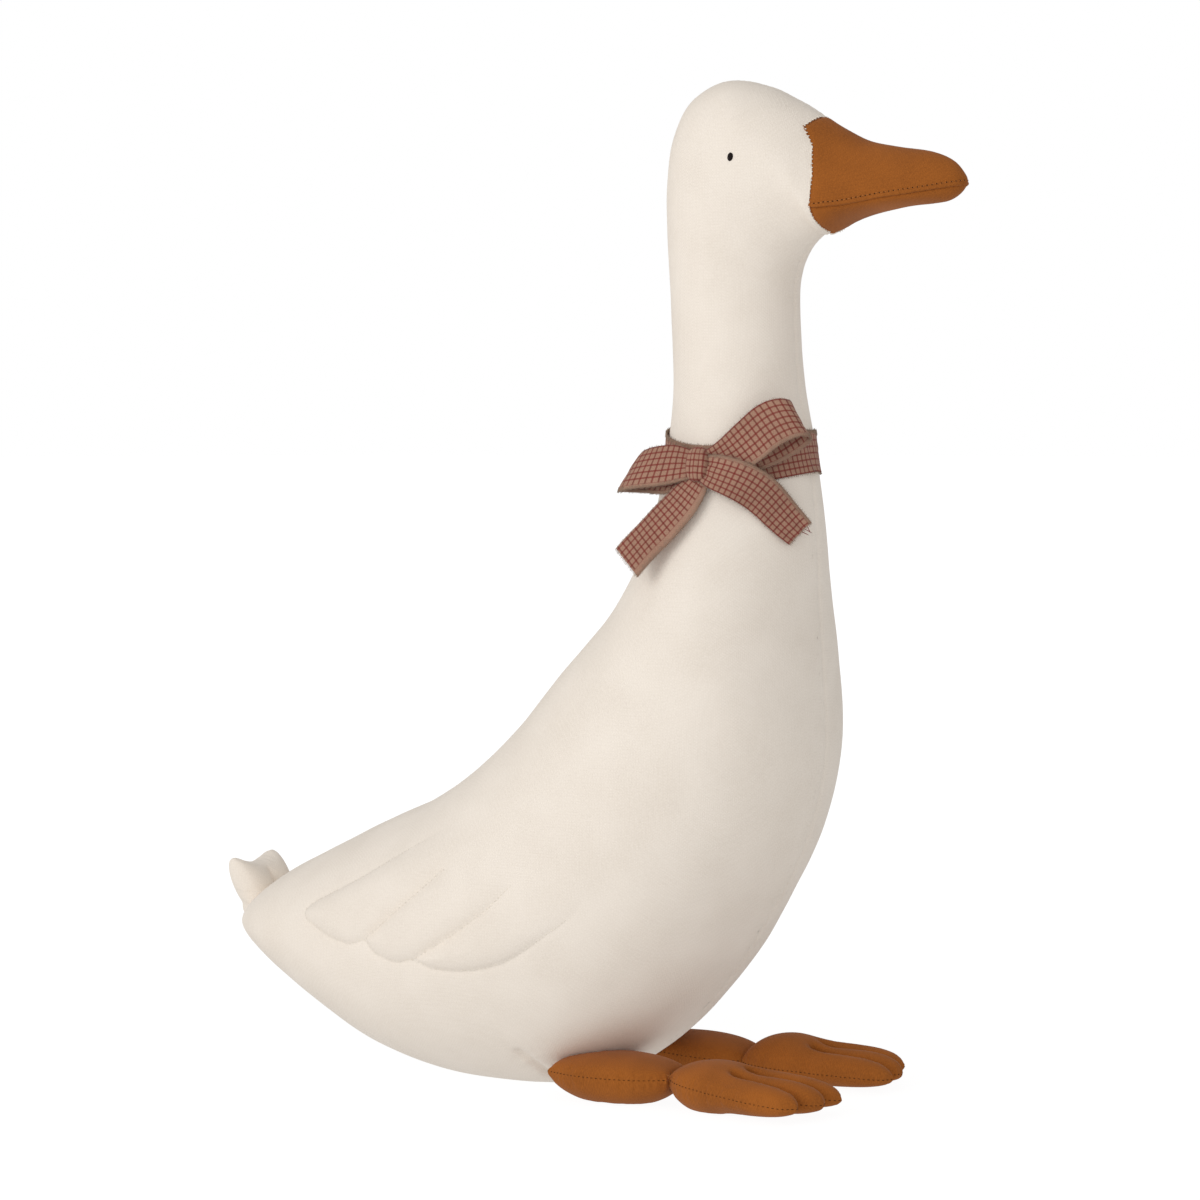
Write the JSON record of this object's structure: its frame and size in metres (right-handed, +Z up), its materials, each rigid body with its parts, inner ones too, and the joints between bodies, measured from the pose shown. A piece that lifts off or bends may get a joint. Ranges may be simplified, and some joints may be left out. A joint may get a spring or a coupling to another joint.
{
  "type": "plush goose",
  "caption": "Stuffed cloth goose sitting on its belly, with ochre bill and feet, quilted wings and a checked ribbon tied at its neck.",
  "frame": {"origin": "middle of the flat of the belly, on the floor", "axes": "+X the way the goose faces, +Y the goose's left, +Z up"},
  "size_m": [0.4995, 0.2242, 0.612],
  "materials": {
    "cream_cloth": "brushed cotton, matt",
    "ochre_cloth": "plain-weave cotton, matt",
    "check_cloth": "yarn-dyed check, soft, frayed edges",
    "eye": "embroidered, matt"
  },
  "bodies": {
    "root": {"body": "cream_cloth", "tail": "cream_cloth", "beak_upper": "ochre_cloth", "beak_lower": "ochre_cloth", "thigh_left": "ochre_cloth", "thigh_right": "ochre_cloth", "foot_left": "ochre_cloth", "foot_right": "ochre_cloth", "eye_left": "eye", "eye_right": "eye", "neck_ribbon": "check_cloth"}
  },
  "joints": []
}
